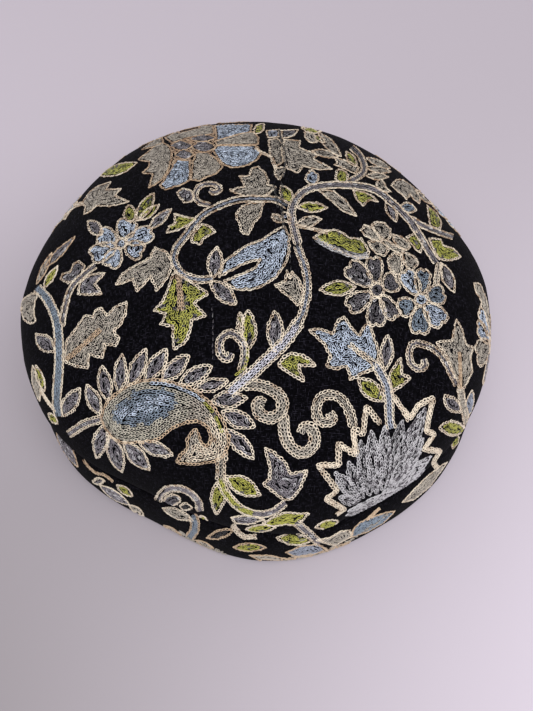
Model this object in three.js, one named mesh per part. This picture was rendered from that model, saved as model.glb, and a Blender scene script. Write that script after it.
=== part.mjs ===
// An embroidered cap of black cloth: a domed crown, taken in by four darts, sewn to an upright side band.
// Millimetres, +Z up. The rim stands on z = 0 with its centre at the origin, and the front faces -Y.
import * as THREE from "three";

// Driving dimensions
const CAP_WIDTH = 187; // across the shoulders of the crown
const CAP_HEIGHT = 98; // from the rim to the top of the crown
const BAND_HEIGHT = 30; // from the rim up to the crown seam
const SHOULDER_HEIGHT = 43; // level of the crown's widest line
const CROWN_FULLNESS = 2.25; // 2 is an ellipse, more is a flatter top with rounder shoulders
const SEAM_DIAMETER = 182; // where the crown and the band are sewn together
const BAND_DIAMETER = 183.5; // at the belly of the band
const RIM_DIAMETER = 180; // outside the hem
const WALL = 2; // cloth with its backing
const HEM_HEIGHT = 9; // turned-up edge inside the rim
const HEM_WALL = 2.8; // the cloth and its turned-up edge
const HEM_EDGE = 1; // height of the slope at the top of that edge
const BELLY_SHARE = 0.6; // height of the band's widest inner line, as a share of the band
const SEAM_GAP = 0.3; // between the two sewn edges
const SEAM_TUCK = 1.3; // how far the cloth rolls in at the seam
const TUCK_HEIGHT = 4; // height of that roll on either side of the seam

// Faceting
const AZIMUTH_STEPS = 120;
const DOME_STEPS = 13;
const SKIRT_STEPS = 3;
const BAND_STEPS = 4;
const ON_AXIS = 0.000001; // nearer than this to the axis a point stays where it is

// Darts: azimuth in degrees from +X towards +Y, reach up the crown from the seam,
// ridge that the sewn cloth pushes out, and crease along the stitching.
const DARTS = [
  { azimuth: 6, reach: 46, ridge: 2.2, crease: 0.7 },
  { azimuth: 81, reach: 104, ridge: 1.6, crease: 0.8 },
  { azimuth: 174, reach: 46, ridge: 2.6, crease: 0.7 },
  { azimuth: 282, reach: 30, ridge: 2.6, crease: 0.6 },
];
const RIDGE_HALF_WIDTH = 13;
const CREASE_HALF_WIDTH = 3.5;

// Plan of the soft cap: how far the cloth stands out from the shoulder circle at each azimuth.
// It is nearly round, with a flat stretch at the front left and another at the back right.
const PLAN_STEP = 30;
const PLAN = [
  { azimuth: 0, swell: 0.8 },
  { azimuth: 30, swell: -4.5 },
  { azimuth: 60, swell: -2.5 },
  { azimuth: 90, swell: -1.5 },
  { azimuth: 120, swell: 1 },
  { azimuth: 150, swell: -2 },
  { azimuth: 180, swell: 0.5 },
  { azimuth: 210, swell: -1 },
  { azimuth: 240, swell: -8 },
  { azimuth: 270, swell: -1.5 },
  { azimuth: 300, swell: -0.5 },
  { azimuth: 330, swell: 2 },
];

const CLOTH = { color: 0x0d0d12, roughness: 0.92, metalness: 0 };

const shoulderRadius = CAP_WIDTH / 2;
const seamRadius = SEAM_DIAMETER / 2;
const domeHeight = CAP_HEIGHT - SHOULDER_HEIGHT;

// How far the sewn edge rolls in at a height above or below the seam.
function tuckAt(distanceFromSeam) {
  const share = Math.max(0, 1 - distanceFromSeam / TUCK_HEIGHT);
  return SEAM_TUCK * share * share;
}

// Outer face of the crown as (radius, height), from the top down to the seam.
function crownOutline() {
  const points = [];
  for (let i = 0; i <= DOME_STEPS; i++) {
    const turn = ((i / DOME_STEPS) * Math.PI) / 2;
    const across = i === 0 ? 0 : Math.sin(turn) ** (2 / CROWN_FULLNESS);
    const up = i === DOME_STEPS ? 0 : Math.cos(turn) ** (2 / CROWN_FULLNESS);
    points.push(new THREE.Vector2(shoulderRadius * across, SHOULDER_HEIGHT + domeHeight * up));
  }
  const skirtHeight = SHOULDER_HEIGHT - BAND_HEIGHT - SEAM_GAP / 2;
  for (let i = 1; i <= SKIRT_STEPS; i++) {
    const share = i / SKIRT_STEPS;
    const radius = shoulderRadius + (seamRadius - shoulderRadius) * share * share;
    const tuck = tuckAt(skirtHeight * (1 - share));
    points.push(new THREE.Vector2(radius - tuck, SHOULDER_HEIGHT - skirtHeight * share));
  }
  return points;
}

// The inner face of a wall: the outline moved in by the wall, with its last point level with the outline's.
function innerOutline(outline) {
  return outline.map((point, i) => {
    if (i === 0) return new THREE.Vector2(0, point.y - WALL);
    if (i === outline.length - 1) return new THREE.Vector2(point.x - WALL, point.y);
    const along = outline[i + 1].clone().sub(outline[i - 1]).normalize();
    return new THREE.Vector2(point.x + along.y * WALL, point.y - along.x * WALL);
  });
}

// Closed section of the band: up the outside from the hem, then down the inside.
function bandSection() {
  const top = BAND_HEIGHT - SEAM_GAP / 2;
  const belly = BAND_DIAMETER / 2;
  const rim = RIM_DIAMETER / 2;
  const outside = [];
  for (let i = 0; i <= BAND_STEPS; i++) {
    const share = i / BAND_STEPS;
    const straight = rim + (seamRadius - rim) * share;
    const bulge = (belly - (rim + seamRadius) / 2) * Math.sin(share * Math.PI);
    outside.push(new THREE.Vector2(straight + bulge - tuckAt(top * (1 - share)), top * share));
  }
  const inside = [
    new THREE.Vector2(outside[BAND_STEPS].x - WALL, top),
    new THREE.Vector2(belly - WALL, top * BELLY_SHARE),
    new THREE.Vector2(belly - WALL, HEM_HEIGHT),
    new THREE.Vector2(rim - HEM_WALL, HEM_HEIGHT - HEM_EDGE),
    new THREE.Vector2(rim - HEM_WALL, 0),
  ];
  return [...outside, ...inside, outside[0].clone()];
}

// Signed angle from one azimuth to another, in degrees, between -180 and 180.
const turnBetween = (from, to) => ((((to - from + 180) % 360) + 360) % 360) - 180;

const bell = (distance, halfWidth) => Math.exp(-((distance / halfWidth) ** 2));

// A spline through the plan's rows. It is closed: two rows are repeated at either end.
const WRAP = 2;
const planRows = [...PLAN.slice(-WRAP), ...PLAN, ...PLAN.slice(0, WRAP + 1)];
const planSpline = new THREE.SplineCurve(
  planRows.map((row, i) => new THREE.Vector2((i - WRAP) * PLAN_STEP, row.swell)),
);

function swellAt(azimuth) {
  const place = ((azimuth + 360) % 360) / PLAN_STEP + WRAP;
  return planSpline.getPoint(place / (planRows.length - 1)).y;
}

// How far the darts push the cloth out, or crease it in, at a point of the cap.
function dartRelief(azimuth, radius, height) {
  let relief = 0;
  for (const dart of DARTS) {
    const turn = THREE.MathUtils.degToRad(turnBetween(dart.azimuth, azimuth));
    const beside = Math.abs(turn) * radius;
    const upCrown = Math.max(0, height - BAND_HEIGHT) + Math.max(0, seamRadius - radius);
    const fade = THREE.MathUtils.clamp(1 - upCrown / dart.reach, 0, 1);
    const downBand = THREE.MathUtils.smoothstep(height, 0, BAND_HEIGHT);
    const crease = dart.crease * bell(beside, CREASE_HALF_WIDTH) * Math.sqrt(fade);
    relief += (dart.ridge * bell(beside, RIDGE_HALF_WIDTH) * fade - crease) * downBand;
  }
  return relief;
}

// Turns a section round the axis and pulls it out to the plan and its darts.
function sewnWall(section) {
  const geometry = new THREE.LatheGeometry(section, AZIMUTH_STEPS);
  geometry.rotateX(Math.PI / 2);
  const position = geometry.getAttribute("position");
  for (let i = 0; i < position.count; i++) {
    const x = position.getX(i);
    const y = position.getY(i);
    const height = position.getZ(i);
    const radius = Math.hypot(x, y);
    if (radius < ON_AXIS) continue;
    const azimuth = THREE.MathUtils.radToDeg(Math.atan2(y, x));
    const outward = (radius / shoulderRadius) ** 2;
    const pull = outward * (swellAt(azimuth) + dartRelief(azimuth, radius, height));
    position.setX(i, x * (1 + pull / radius));
    position.setY(i, y * (1 + pull / radius));
  }
  geometry.computeVertexNormals();
  return geometry;
}

function clothPiece(name, section) {
  const piece = new THREE.Mesh(sewnWall(section), new THREE.MeshStandardMaterial(CLOTH));
  piece.name = name;
  return piece;
}

const crownOuter = crownOutline();
const crownSection = [...innerOutline(crownOuter), ...crownOuter.toReversed()];

const cap = new THREE.Group();
cap.name = "embroidered_cap";
cap.add(clothPiece("crown", crownSection), clothPiece("side_band", bandSection()));

// The darted plan isn't quite even, so the pieces are moved until their box is centred on the origin.
const middle = new THREE.Box3().setFromObject(cap).getCenter(new THREE.Vector3());
for (const piece of cap.children) piece.geometry.translate(-middle.x, -middle.y, 0);

export default cap;
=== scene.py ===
# %% [markdown]
# # An embroidered cap
# A soft round cap of black cloth. A domed crown is taken in by darts and sewn to an upright band, and both
# are covered with flowers, leaves and a large paisley in chain stitch. The shapes of the two cloth pieces
# come from the imported model, so this lesson is about their looks: the cloth, the thousands of small loops
# of thread that lie on it, and the light. The imported model is loaded first.

# %% Load the imported model
import math
from collections import namedtuple

import bpy
import numpy as np
from mathutils import Matrix, Vector
from mathutils.bvhtree import BVHTree


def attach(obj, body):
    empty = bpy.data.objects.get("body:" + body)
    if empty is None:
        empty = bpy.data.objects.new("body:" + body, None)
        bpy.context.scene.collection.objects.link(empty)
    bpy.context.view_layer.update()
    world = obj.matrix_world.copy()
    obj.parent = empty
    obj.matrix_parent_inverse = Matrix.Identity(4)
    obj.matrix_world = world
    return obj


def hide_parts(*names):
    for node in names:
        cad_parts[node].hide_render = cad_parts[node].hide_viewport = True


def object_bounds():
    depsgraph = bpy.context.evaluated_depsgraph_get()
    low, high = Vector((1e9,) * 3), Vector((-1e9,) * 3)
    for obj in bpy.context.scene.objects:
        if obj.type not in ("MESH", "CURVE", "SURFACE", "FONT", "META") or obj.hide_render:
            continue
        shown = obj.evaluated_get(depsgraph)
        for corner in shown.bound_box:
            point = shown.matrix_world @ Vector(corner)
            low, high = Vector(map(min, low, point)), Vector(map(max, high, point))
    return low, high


MM = 0.001
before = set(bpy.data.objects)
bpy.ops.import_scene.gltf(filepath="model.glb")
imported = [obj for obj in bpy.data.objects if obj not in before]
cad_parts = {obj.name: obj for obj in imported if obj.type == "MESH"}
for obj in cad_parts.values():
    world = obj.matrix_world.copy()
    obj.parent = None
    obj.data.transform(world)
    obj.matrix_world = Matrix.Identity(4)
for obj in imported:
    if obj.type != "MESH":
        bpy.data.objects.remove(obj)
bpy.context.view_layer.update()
print("packed nodes:", sorted(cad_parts))

# %% [markdown]
# ## The camera
# The photograph looks down at the front of the cap. A camera could be placed by eye, but here the
# embroidery is charted in the photograph's pixels, so the camera has to agree with it to a pixel or two. It
# is described by the point that it aims at, its distance, its height above the table as an angle, and its
# focal length in pixels.

# %% Place the camera
PHOTO_WIDTH = 533
PHOTO_HEIGHT = 711
FOCAL_PIXELS = 1100
SENSOR_MM = 36
AIM = Vector((4.3, -22.9, 50)) * MM
DISTANCE = 431 * MM
ELEVATION = math.radians(57)
ROLL = math.radians(-2)
NEAREST = 10 * MM

back = Vector((0, -math.cos(ELEVATION), math.sin(ELEVATION)))
level_right = Vector((1, 0, 0))
level_up = back.cross(level_right)
right = level_right * math.cos(ROLL) + level_up * math.sin(ROLL)
up = level_up * math.cos(ROLL) - level_right * math.sin(ROLL)
eye = AIM + back * DISTANCE

bpy.ops.object.select_all(action="DESELECT")
bpy.ops.object.camera_add()
camera = bpy.context.object
camera.name = "photo_camera"
camera.matrix_world = Matrix.Translation(eye) @ Matrix((right, up, back)).transposed().to_4x4()
camera.data.sensor_width = SENSOR_MM
camera.data.lens = FOCAL_PIXELS / PHOTO_HEIGHT * SENSOR_MM
camera.data.clip_start = NEAREST
bpy.context.scene.camera = camera
print(f"camera {DISTANCE / MM:.0f} mm from its aim, lens {camera.data.lens:.1f} mm")

# %% [markdown]
# ## The two cloth pieces
# Real cloth is never as even as a drawn surface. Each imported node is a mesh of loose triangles, so a copy
# of it is merged, turned into quads and smoothed by one subdivision. A Displace modifier with a soft cloud
# pattern then lets the surface rise and sink by less than half a millimetre, as cloth does under dense
# stitching. A cloth simulation could do the same, but the cap is stiff with stitches and keeps its
# shape, so this is enough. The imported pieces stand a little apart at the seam, so the crown's lower edge is
# drawn down until the two meet.

# %% Copy and soften the cloth
MERGE_DISTANCE = 0.01 * MM
QUAD_ANGLE = math.radians(50)
PUCKER_SIZE = 22 * MM
PUCKER_HEIGHT = 0.9 * MM
SEAM_HEIGHT = 30 * MM
SEAM_REACH = 2.5 * MM
SEAM_PULL = 2.1 * MM


def select_only(piece):
    """Deselect everything, then select this piece and make it the active one."""
    bpy.ops.object.select_all(action="DESELECT")
    piece.select_set(True)
    bpy.context.view_layer.objects.active = piece


def soft_cloth(node_name, piece_name):
    """A smooth, slightly puckered copy of a packed cloth node."""
    cloth = bpy.data.objects.new(piece_name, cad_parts[node_name].data.copy())
    bpy.context.scene.collection.objects.link(cloth)
    select_only(cloth)
    bpy.ops.object.mode_set(mode="EDIT")
    bpy.ops.mesh.select_all(action="SELECT")
    bpy.ops.mesh.remove_doubles(threshold=MERGE_DISTANCE)
    bpy.ops.mesh.customdata_custom_splitnormals_clear()
    bpy.ops.mesh.tris_convert_to_quads(face_threshold=QUAD_ANGLE, shape_threshold=QUAD_ANGLE)
    bpy.ops.object.mode_set(mode="OBJECT")
    finer = cloth.modifiers.new("finer", "SUBSURF")
    finer.levels = 1
    finer.render_levels = 1
    clouds = bpy.data.textures.new(f"{piece_name}_puckers", "CLOUDS")
    clouds.noise_scale = PUCKER_SIZE
    pucker = cloth.modifiers.new("pucker", "DISPLACE")
    pucker.texture = clouds
    pucker.texture_coords = "LOCAL"
    pucker.strength = PUCKER_HEIGHT
    for modifier in list(cloth.modifiers):
        bpy.ops.object.modifier_apply(modifier=modifier.name)
    bpy.ops.object.shade_smooth()
    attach(cloth, "root")
    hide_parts(node_name)
    print(f"{piece_name}: {len(cloth.data.polygons)} faces")
    return cloth


def pull_to_seam(cloth):
    """Draw the lower edge of the crown down to the band, so that the seam is closed."""
    for vertex in cloth.data.vertices:
        nearness = 1 - (vertex.co.z - SEAM_HEIGHT) / SEAM_REACH
        vertex.co.z -= SEAM_PULL * min(1, max(0, nearness))


crown = soft_cloth("crown", "crown_cloth")
band = soft_cloth("side_band", "band_cloth")
pull_to_seam(crown)

# %% [markdown]
# ## The weave follows the cloth
# A woven pattern needs coordinates that run along the cloth. The crown is spread out from its top like a
# flattened bowl, so its threads cross it from side to side. The band was cut as a strip, so its threads run
# round it and straight up. Both maps are in millimetres, which makes the size of a thread easy to set
# later.

# %% Lay out the weave
DOME_CENTRE = 25 * MM
DOME_RADIUS = 92


def write_map(cloth, corners):
    """Store one pair of map coordinates for each face corner."""
    layer = cloth.data.uv_layers.new(name="weave")
    cloth.data.uv_layers.active = layer
    layer.data.foreach_set("uv", corners.astype(np.float32).ravel())


def corner_places(cloth):
    """The place of each face corner, and the middle of the face that it belongs to."""
    mesh = cloth.data
    points = np.array([vertex.co[:] for vertex in mesh.vertices])
    corners = np.array([loop.vertex_index for loop in mesh.loops])
    middles = np.array([face.center[:] for face in mesh.polygons])
    counts = [face.loop_total for face in mesh.polygons]
    return points[corners], np.repeat(middles, counts, axis=0)


places, _ = corner_places(crown)
spread = DOME_RADIUS * np.arctan2(np.hypot(places[:, 0], places[:, 1]), places[:, 2] - DOME_CENTRE)
azimuth = np.arctan2(places[:, 1], places[:, 0])
write_map(crown, np.stack([spread * np.cos(azimuth), spread * np.sin(azimuth)], axis=1))

places, middles = corner_places(band)
middle_azimuth = np.arctan2(middles[:, 1], middles[:, 0])
azimuth = np.arctan2(places[:, 1], places[:, 0])
turn = (azimuth - middle_azimuth + math.pi) % (2 * math.pi) - math.pi
write_map(band, np.stack([(middle_azimuth + turn) * DOME_RADIUS, places[:, 2] / MM], axis=1))
print("weave maps in millimetres on both pieces")

# %% [markdown]
# ## Helpers for materials
# A material is a tree of nodes. Three small helpers keep the trees readable: one adds a node with its
# settings and the constant values of its inputs, one joins an output to an input, and one gives a colour
# ramp its stops. Colours are written from 0 to 255, as in a paint program, and made linear, as a shader
# expects them.

# %% Write the material helpers
Stop = namedtuple("Stop", "position colour")


def linear(colour):
    """A colour from 0 to 255 as Blender's linear values."""
    shares = [channel / 255 for channel in colour]
    return [s / 12.92 if s <= 0.04045 else ((s + 0.055) / 1.055) ** 2.4 for s in shares] + [1]


def node_maker(material):
    """Clear a material's nodes, and give functions that add and join new ones."""
    material.use_nodes = True
    tree = material.node_tree
    tree.nodes.clear()

    def add(kind, inputs=None, **settings):
        node = tree.nodes.new(kind)
        for name, value in settings.items():
            setattr(node, name, value)
        for name, value in (inputs or {}).items():
            node.inputs[name].default_value = value
        return node

    def join(output, socket):
        tree.links.new(output, socket)

    return add, join


def set_stops(ramp_node, stops):
    """Give a colour ramp its stops. A new ramp has two, and more are added."""
    elements = ramp_node.color_ramp.elements
    for k, stop in enumerate(stops):
        element = elements[k] if k < len(elements) else elements.new(stop.position)
        element.position = stop.position
        element.color = linear(stop.colour)


print("middle grey in linear values:", round(linear((128, 128, 128))[0], 3))

# %% [markdown]
# ## Black cotton
# The cloth is a slubby plain weave: threads of uneven thickness that cross over and under, almost black,
# with a few lighter flecks. Modelled threads would be far too many, so this is bump. Two wave patterns make
# the crossing threads, a noise stretched along each direction makes them thick and thin, and where both are
# strong the ramp gives a fleck. A low sheen gives the dusty edge of cotton.

# %% Make the black cloth
WEAVE_BANDS = 0.52
WEAVE_WANDER = 1.2
WANDER_SCALE = 0.8
WEAVE_RELIEF = 0.7
WEAVE_DEPTH = 0.12 * MM
SLUB_STRETCH = {"X": (3, 0.5, 1), "Y": (0.5, 3, 1)}
SLUB_DETAIL = 3
CLOTH_STOPS = [Stop(0.30, (2, 2, 3)), Stop(0.52, (8, 7, 10)), Stop(0.66, (50, 48, 58))]
CLOTH_LOOK = {"Roughness": 0.92, "Specular IOR Level": 0.02, "Sheen Weight": 0.01}


def black_cotton():
    """Slubby black plain weave on the weave map."""
    material = bpy.data.materials.new("black_cotton")
    add, join = node_maker(material)
    weave_map = add("ShaderNodeUVMap", uv_map="weave")
    wave_inputs = {"Scale": WEAVE_BANDS, "Distortion": WEAVE_WANDER, "Detail Scale": WANDER_SCALE}
    height = add("ShaderNodeMath", operation="MAXIMUM")
    for k, (direction, slub_stretch) in enumerate(SLUB_STRETCH.items()):
        wave = add("ShaderNodeTexWave", wave_inputs, bands_direction=direction)
        stretch = add("ShaderNodeMapping", {"Scale": slub_stretch})
        slub = add("ShaderNodeTexNoise", {"Scale": 1, "Detail": SLUB_DETAIL})
        thread = add("ShaderNodeMath", operation="MULTIPLY")
        join(weave_map.outputs["UV"], wave.inputs["Vector"])
        join(weave_map.outputs["UV"], stretch.inputs["Vector"])
        join(stretch.outputs["Vector"], slub.inputs["Vector"])
        join(wave.outputs["Fac"], thread.inputs[0])
        join(slub.outputs["Fac"], thread.inputs[1])
        join(thread.outputs["Value"], height.inputs[k])
    colour = add("ShaderNodeValToRGB")
    set_stops(colour, CLOTH_STOPS)
    bump = add("ShaderNodeBump", {"Strength": WEAVE_RELIEF, "Distance": WEAVE_DEPTH})
    shader = add("ShaderNodeBsdfPrincipled", CLOTH_LOOK)
    output = add("ShaderNodeOutputMaterial")
    join(height.outputs["Value"], colour.inputs["Fac"])
    join(height.outputs["Value"], bump.inputs["Height"])
    join(colour.outputs["Color"], shader.inputs["Base Color"])
    join(bump.outputs["Normal"], shader.inputs["Normal"])
    join(shader.outputs["BSDF"], output.inputs["Surface"])
    return material


cotton = black_cotton()
for cloth in (crown, band):
    cloth.data.materials.clear()
    cloth.data.materials.append(cotton)
print("cloth finished in", cotton.name)

# %% [markdown]
# ## The threads
# The floss is silky and a little uneven: no two stitches of one colour are quite alike. Each is also painted
# paler on top than down in the cloth, as painted light and shade. Each thread therefore has a dark and a
# light shade, and every point of a stitch carries a number, its tint, that says where between the two it
# lies.
# The fine twist of the floss is a diagonal wave on the map that goes along and around each loop, and it
# darkens the colour in its grooves as painted shade.

# %% Make the threads
Thread = namedtuple("Thread", "dark light")
THREADS = {
    "cream": Thread((146, 113, 81), (244, 231, 208)),
    "beige": Thread((132, 100, 72), (214, 188, 156)),
    "silver": Thread((30, 30, 33), (204, 202, 204)),
    "grey": Thread((72, 64, 55), (192, 183, 168)),
    "blue": Thread((36, 47, 70), (208, 221, 238)),
    "steel": Thread((28, 36, 46), (138, 153, 168)),
    "lavender": Thread((46, 51, 62), (162, 169, 184)),
    "slate": Thread((17, 16, 20), (136, 130, 136)),
    "pearl": Thread((58, 57, 64), (222, 221, 232)),
    "moss": Thread((60, 59, 50), (206, 200, 182)),
    "green": Thread((56, 57, 8), (184, 183, 78)),
    "coal": Thread((9, 9, 12), (104, 99, 104)),
    "black": Thread((4, 4, 6), (28, 27, 31)),
}
TWISTS = 5
# Painted shade: the twist's grooves darken the thread's colour down to this share.
GROOVE_PAINTED_SHADE = 0.85
GROOVE_RELIEF = 0.35
GROOVE_DEPTH = 0.05 * MM
FLOSS_LOOK = {"Roughness": 0.45, "Specular IOR Level": 0.5, "Sheen Weight": 0.1}
# Numbers of the colour sockets of a Mix node, which share their names with its other sockets.
MIX_FIRST = 6
MIX_SECOND = 7
MIX_RESULT = 2


def floss(name, thread):
    """Silky twisted thread whose shade follows the tint."""
    material = bpy.data.materials.new(f"{name}_floss")
    add, join = node_maker(material)
    tint = add("ShaderNodeAttribute", attribute_name="tint")
    shades = {MIX_FIRST: linear(thread.dark), MIX_SECOND: linear(thread.light)}
    shade = add("ShaderNodeMix", shades, data_type="RGBA")
    along = add("ShaderNodeUVMap", uv_map="along_thread")
    stretch = add("ShaderNodeMapping", {"Scale": (TWISTS, 1, 1)})
    twist = add("ShaderNodeTexWave", {"Scale": 1}, bands_direction="DIAGONAL")
    groove = add("ShaderNodeMapRange", {"To Min": GROOVE_PAINTED_SHADE})
    darker = add("ShaderNodeVectorMath", operation="SCALE")
    bump = add("ShaderNodeBump", {"Strength": GROOVE_RELIEF, "Distance": GROOVE_DEPTH})
    shader = add("ShaderNodeBsdfPrincipled", FLOSS_LOOK)
    output = add("ShaderNodeOutputMaterial")
    join(tint.outputs["Fac"], shade.inputs["Factor"])
    join(along.outputs["UV"], stretch.inputs["Vector"])
    join(stretch.outputs["Vector"], twist.inputs["Vector"])
    join(twist.outputs["Fac"], groove.inputs["Value"])
    join(shade.outputs[MIX_RESULT], darker.inputs[0])
    join(groove.outputs["Result"], darker.inputs["Scale"])
    join(twist.outputs["Fac"], bump.inputs["Height"])
    join(darker.outputs["Vector"], shader.inputs["Base Color"])
    join(bump.outputs["Normal"], shader.inputs["Normal"])
    join(shader.outputs["BSDF"], output.inputs["Surface"])
    return material


flosses = {name: floss(name, thread) for name, thread in THREADS.items()}
print("threads:", ", ".join(flosses))

# %% [markdown]
# ## One chain stitch
# A chain stitch is a loop of thread that starts narrow, where it comes out of the loop before it, and ends
# round, held down by the next. It is modelled once: a small ring, stretched to a link by moving its two
# halves apart, pinched at its start, and raised at its end so that each loop overlaps the next. Thousands
# of copies follow, so the ring has only 24 faces.

# %% Model the loop
LOOP_LENGTH = 2.3 * MM
LOOP_WIDTH = 1.2 * MM
THREAD_RADIUS = 0.19 * MM
RING_STEPS = 8
THREAD_SIDES = 3
PINCH = 0.24
OVERLAP_RISE = 0.1 * MM
# Painted light and shade: how much paler the top of a thread is painted than its low side.
TOP_PAINTED_LIGHT = 0.42
NEAR_MIDDLE = 0.05 * MM

ring_radius = LOOP_WIDTH / 2 - THREAD_RADIUS
stretch = (LOOP_LENGTH - LOOP_WIDTH) / 2
bpy.ops.object.select_all(action="DESELECT")
bpy.ops.mesh.primitive_torus_add(
    major_segments=RING_STEPS,
    minor_segments=THREAD_SIDES,
    major_radius=ring_radius,
    minor_radius=THREAD_RADIUS,
)
loop = bpy.context.object


def pick(piece, test):
    """Go into edit mode with only those points selected that pass the test."""
    bpy.ops.object.mode_set(mode="EDIT")
    bpy.ops.mesh.select_mode(type="VERT")
    bpy.ops.mesh.select_all(action="DESELECT")
    bpy.ops.object.mode_set(mode="OBJECT")
    for vertex in piece.data.vertices:
        vertex.select = test(vertex.co)
    bpy.ops.object.mode_set(mode="EDIT")


pick(loop, lambda point: point.x > NEAR_MIDDLE)
bpy.ops.transform.translate(value=(stretch, 0, OVERLAP_RISE))
pick(loop, lambda point: point.x < -NEAR_MIDDLE)
bpy.ops.transform.translate(value=(-stretch, 0, -OVERLAP_RISE))
bpy.ops.transform.resize(value=(1, PINCH, 1), center_override=(0, 0, 0))
bpy.ops.object.mode_set(mode="OBJECT")

loop_points = np.array([vertex.co[:] for vertex in loop.data.vertices])
loop_faces = np.array([list(face.vertices) for face in loop.data.polygons])
loop_map = np.array([corner.uv[:] for corner in loop.data.uv_layers.active.data])
# Painted light and shade: each point's tint rises with its height on the thread.
loop_painted_light = loop_points[:, 2] / THREAD_RADIUS * TOP_PAINTED_LIGHT
bpy.data.objects.remove(loop)
print(f"one loop: {len(loop_points)} points, {len(loop_faces)} faces")

# %% [markdown]
# ## From the photograph to the cloth
# Each motif is charted in the photograph's pixels. To find a chart point on the cap, a ray goes from the
# camera through that pixel, and where it meets the cloth is the place. A search tree over both cloth pieces
# makes this fast, and it also tells which piece was hit. A point that just misses the cap, or slips through
# the seam and meets the wall inside, is drawn in towards the middle.

# %% Build the charts
CAP_MIDDLE = np.array([254, 343])
PULL_STEP = 0.01
CAP_HEART = Vector((0, 0, 30)) * MM
Chart = namedtuple("Chart", "place unit")


def search_tree(pieces):
    """One tree over several pieces, and the name of the piece that each face belongs to."""
    points = []
    faces = []
    homes = []
    for name, piece in pieces.items():
        first = len(points)
        points += [vertex.co.copy() for vertex in piece.data.vertices]
        faces += [[first + index for index in face.vertices] for face in piece.data.polygons]
        homes += [name] * len(piece.data.polygons)
    return BVHTree.FromPolygons(points, faces), homes


surface, face_homes = search_tree({"crown": crown, "band": band})


def place_pixels(pixels):
    """Where the photograph's pixels lie on the cap."""
    places = []
    for pixel in pixels:
        pull = 0
        hit = None
        while hit is None:
            target = pixel + (CAP_MIDDLE - pixel) * pull
            across = (target[0] - PHOTO_WIDTH / 2) / FOCAL_PIXELS
            above = (PHOTO_HEIGHT / 2 - target[1]) / FOCAL_PIXELS
            hit, normal, _, _ = surface.ray_cast(eye, right * across + up * above - back)
            if hit and normal.dot(hit - CAP_HEART) < 0:
                hit = None
            pull += PULL_STEP
        places.append(hit)
    return np.array(places)


photo_chart = Chart(place_pixels, DISTANCE / FOCAL_PIXELS / MM)
print(f"one pixel is about {photo_chart.unit:.2f} mm on the cap")

# %% [markdown]
# ## Flat charts for the hidden sides
# The sides that the photograph doesn't show have small sprigs, charted in millimetres on a flat patch that
# is laid against the cloth. The points of a patch fall onto the cloth along its normal, as a paper pattern
# would be pressed on. To the stitcher both kinds of chart are the same thing: a way to place points, and a
# scale.

# %% Build the flat charts
PATCH_CLEARANCE = 25 * MM


def drop(points, normal, height):
    """Where points land on the cloth when they fall along a normal, or the nearest place."""
    places = []
    for point in points:
        start = Vector(point)
        hit = surface.ray_cast(start + normal * height, -normal)[0]
        places.append(hit or surface.find_nearest(start)[0])
    return np.array(places)


def patch_chart(azimuth_deg, height):
    """A flat chart in millimetres, laid against the cap at an azimuth and a height."""
    azimuth = math.radians(azimuth_deg)
    outward = Vector((math.cos(azimuth), math.sin(azimuth), 0))
    outside = outward + Vector((0, 0, height * MM))
    middle, normal, _, _ = surface.ray_cast(outside, -outward)
    across = Vector((0, 0, 1)).cross(normal).normalized()
    upward = normal.cross(across)

    def place(points):
        starts = [middle + (across * x + upward * y) * MM for x, y in points]
        return drop(starts, normal, PATCH_CLEARANCE)

    return Chart(place, 1)


print(f"patch points fall from {PATCH_CLEARANCE / MM:.0f} mm above the cloth")

# %% [markdown]
# ## Even paths
# Everything is sewn along paths of points. A curve object could hold them, but plain arrays are easier to
# measure. Three helpers are enough: one closes a path, one divides it into even steps, and one draws a
# smooth curve that passes through every point of a chart.

# %% Draw even paths
CURVE_STEPS = 8


def closed(points):
    """A path that ends where it starts."""
    return np.vstack([points, points[:1]])


def evenly(points, step):
    """Points an even step apart along a path."""
    gaps = np.linalg.norm(np.diff(points, axis=0), axis=1)
    along = np.concatenate([[0], np.cumsum(gaps)])
    stations = np.linspace(0, along[-1], max(2, round(along[-1] / step) + 1))
    return np.stack([np.interp(stations, along, column) for column in points.T], axis=1)


def smooth(points, steps=CURVE_STEPS):
    """A curve through the points of an open path."""
    points = np.array(points, float)
    ends = np.vstack([2 * points[0] - points[1], points, 2 * points[-1] - points[-2]])
    t = np.linspace(0, 1, steps, endpoint=False)[:, None]
    stretches = []
    for a, b, c, d in zip(ends, ends[1:], ends[2:], ends[3:]):
        curve = 2 * b + (c - a) * t + (2 * a - 5 * b + 4 * c - d) * t**2 + (3 * b - a - 3 * c + d) * t**3
        stretches.append(curve / 2)
    return np.vstack(stretches + [points[-1:]])


print("a curve has", CURVE_STEPS, "steps between two charted points")

# %% [markdown]
# ## Rows inside an outline
# An embroiderer outlines a leaf first and then fills it with rows that echo the outline, each one a
# thread's width further in. The same is done here. A row at some depth is the outline moved inwards,
# without the points that came too near another part of the edge. At a notch the inward direction swings
# round, so more points are fanned out there.

# %% Move outlines inwards
NEAR_EDGE = 0.12
WIDEST_JUMP = 2.0
NOTCH = math.sin(math.radians(12))
FAN_STEPS = 9
TINY = 1e-9
DEEPEST = 20
DEPTH_STEP = 0.1


def edge_samples(outline):
    """Points along a closed flat outline with their inward directions, fanned out at each notch."""
    along = np.roll(outline, -1, axis=0) - outline
    inward = np.stack([-along[:, 1], along[:, 0]], axis=1)
    inward /= np.maximum(np.linalg.norm(inward, axis=1, keepdims=True), TINY)
    points = []
    directions = []
    for point, first, second in zip(outline, np.roll(inward, 1, axis=0), inward):
        opening = first[1] * second[0] - first[0] * second[1]
        for share in np.linspace(0, 1, FAN_STEPS if opening > NOTCH else 2)[1:]:
            points.append(point)
            directions.append(first * (1 - share) + second * share)
    directions = np.array(directions)
    return np.array(points), directions / np.linalg.norm(directions, axis=1, keepdims=True)


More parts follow.
